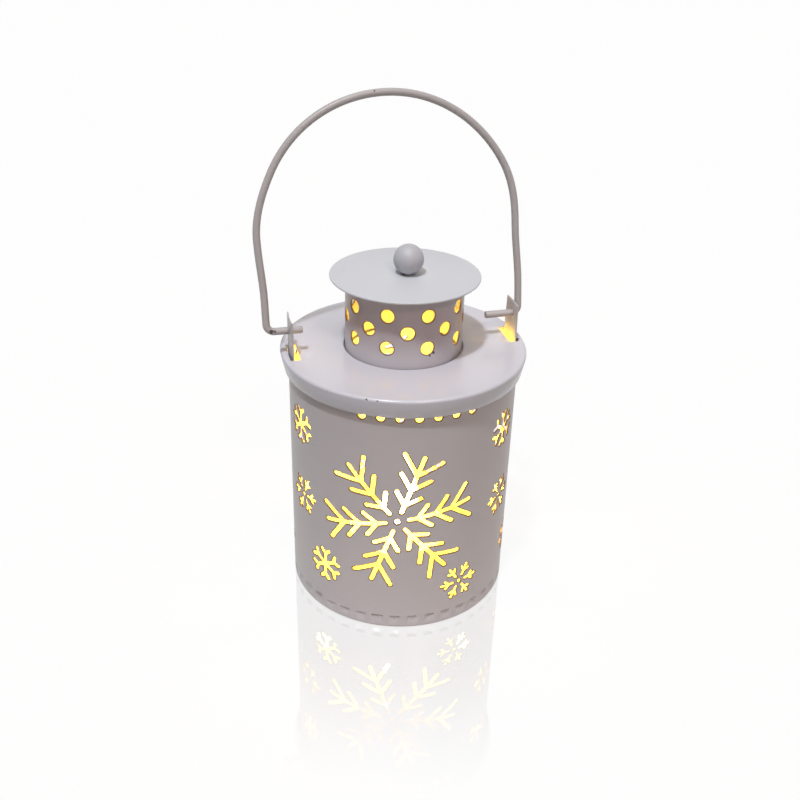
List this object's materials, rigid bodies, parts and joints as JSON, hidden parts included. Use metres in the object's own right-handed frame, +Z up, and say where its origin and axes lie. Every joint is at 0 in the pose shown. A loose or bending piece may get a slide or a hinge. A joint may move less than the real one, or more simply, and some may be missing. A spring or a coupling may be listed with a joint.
{
  "type": "punched metal lantern",
  "caption": "Round painted sheet-metal lantern with punched snowflakes, a lid slotted over its ears, a lift-out perforated chimney with a knob, a wire handle and a tealight inside.",
  "frame": {"origin": "centre of the base's underside, on the surface that the lantern stands on", "axes": "+Z up; +X along the line through the two ears on which the handle turns; -Y towards the front"},
  "size_m": [0.0914, 0.0856, 0.1768],
  "materials": {
    "wall_paint": "pale grey-lilac semi-gloss paint",
    "lid_paint": "pale grey-lilac semi-gloss paint",
    "knob_paint": "pale grey-lilac gloss paint",
    "handle_paint": "pale grey-lilac paint, chipped at the bends",
    "plated_steel": "bright zinc plate",
    "tealight_aluminium": "thin pressed foil cup",
    "wax": "white paraffin wax with a melted pool",
    "wick_cotton": "waxed cotton, charred at the tip"
  },
  "bodies": {
    "body": {"body_wall": "wall_paint", "base_pan": "wall_paint"},
    "lid": {"lid": "lid_paint"},
    "chimney": {"chimney": "lid_paint", "cap_disc": "lid_paint", "knob_ball": "knob_paint", "knob_screw": "plated_steel"},
    "handle": {"handle_wire": "handle_paint"},
    "tealight": {"tealight_cup": "tealight_aluminium", "tealight_wax": "wax", "wick_foot": "plated_steel", "wick": "wick_cotton"}
  },
  "joints": [
    {"name": "handle_swing", "type": "hinge", "parent": "body", "child": "handle", "pos_m": [0, 0, 0.1017], "axis": [1, 0, 0], "range_deg": [-93, 117]},
    {"name": "lid_lift", "type": "slide", "parent": "body", "child": "lid", "axis": [0, 0, 1], "range_m": [0, 0.004]},
    {"name": "chimney_lift", "type": "slide", "parent": "lid", "child": "chimney", "axis": [0, 0, 1], "range_m": [0, 0.03]},
    {"name": "tealight_lift", "type": "slide", "parent": "body", "child": "tealight", "axis": [0, 0, 1], "range_m": [0, 0.06]}
  ]
}
